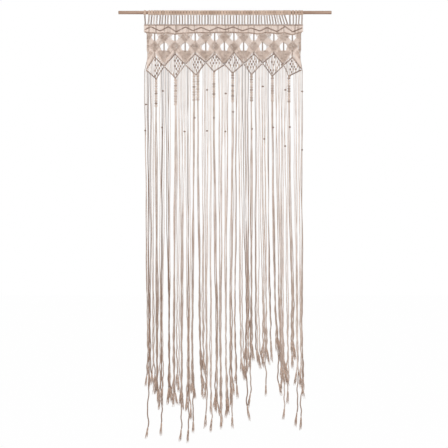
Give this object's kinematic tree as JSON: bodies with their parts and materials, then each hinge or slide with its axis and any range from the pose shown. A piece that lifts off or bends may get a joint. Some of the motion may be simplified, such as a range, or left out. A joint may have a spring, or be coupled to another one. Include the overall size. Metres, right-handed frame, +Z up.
{
  "type": "macrame curtain on a wooden rod",
  "caption": "Knotted cotton-cord curtain on a straight wooden rod, with a hitched band, a net of diamonds and windows, and a long uneven fringe.",
  "frame": {"origin": "middle of the rod, on its axis", "axes": "+X along the rod, to the right as seen from the front; +Z up; the front of the cloth faces -Y"},
  "size_m": [1, 0.0254, 2.0093],
  "materials": {
    "wood": "satin",
    "cotton": "matt twisted cotton cord"
  },
  "bodies": {
    "root": {"rod": "wood", "heading": "cotton", "top_ridge": "cotton", "band": "cotton", "second_ridge": "cotton", "net": "cotton", "upper_ridge": "cotton", "lower_ridge_1": "cotton", "lower_ridge_2": "cotton", "lower_ridge_3": "cotton", "lower_ridge_4": "cotton", "lower_ridge_5": "cotton", "lower_ridge_6": "cotton", "lower_ridge_7": "cotton", "lower_ridge_8": "cotton", "lattice_1": "cotton", "lattice_2": "cotton", "lattice_3": "cotton", "lattice_4": "cotton", "lattice_5": "cotton", "lattice_6": "cotton", "lattice_7": "cotton", "lattice_8": "cotton", "sinnet_1": "cotton", "sinnet_2": "cotton", "sinnet_3": "cotton", "sinnet_4": "cotton", "sinnet_5": "cotton", "sinnet_6": "cotton", "sinnet_7": "cotton", "sinnet_8": "cotton", "sinnet_9": "cotton", "fringe_1": "cotton", "fringe_2": "cotton", "fringe_3": "cotton", "fringe_4": "cotton", "fringe_5": "cotton", "fringe_6": "cotton", "fringe_7": "cotton", "fringe_8": "cotton", "fringe_9": "cotton", "fringe_10": "cotton", "fringe_11": "cotton", "fringe_12": "cotton", "fringe_13": "cotton", "fringe_14": "cotton", "fringe_15": "cotton", "fringe_16": "cotton", "fringe_17": "cotton", "fringe_18": "cotton", "fringe_19": "cotton", "fringe_20": "cotton", "fringe_21": "cotton", "fringe_22": "cotton"}
  },
  "joints": []
}
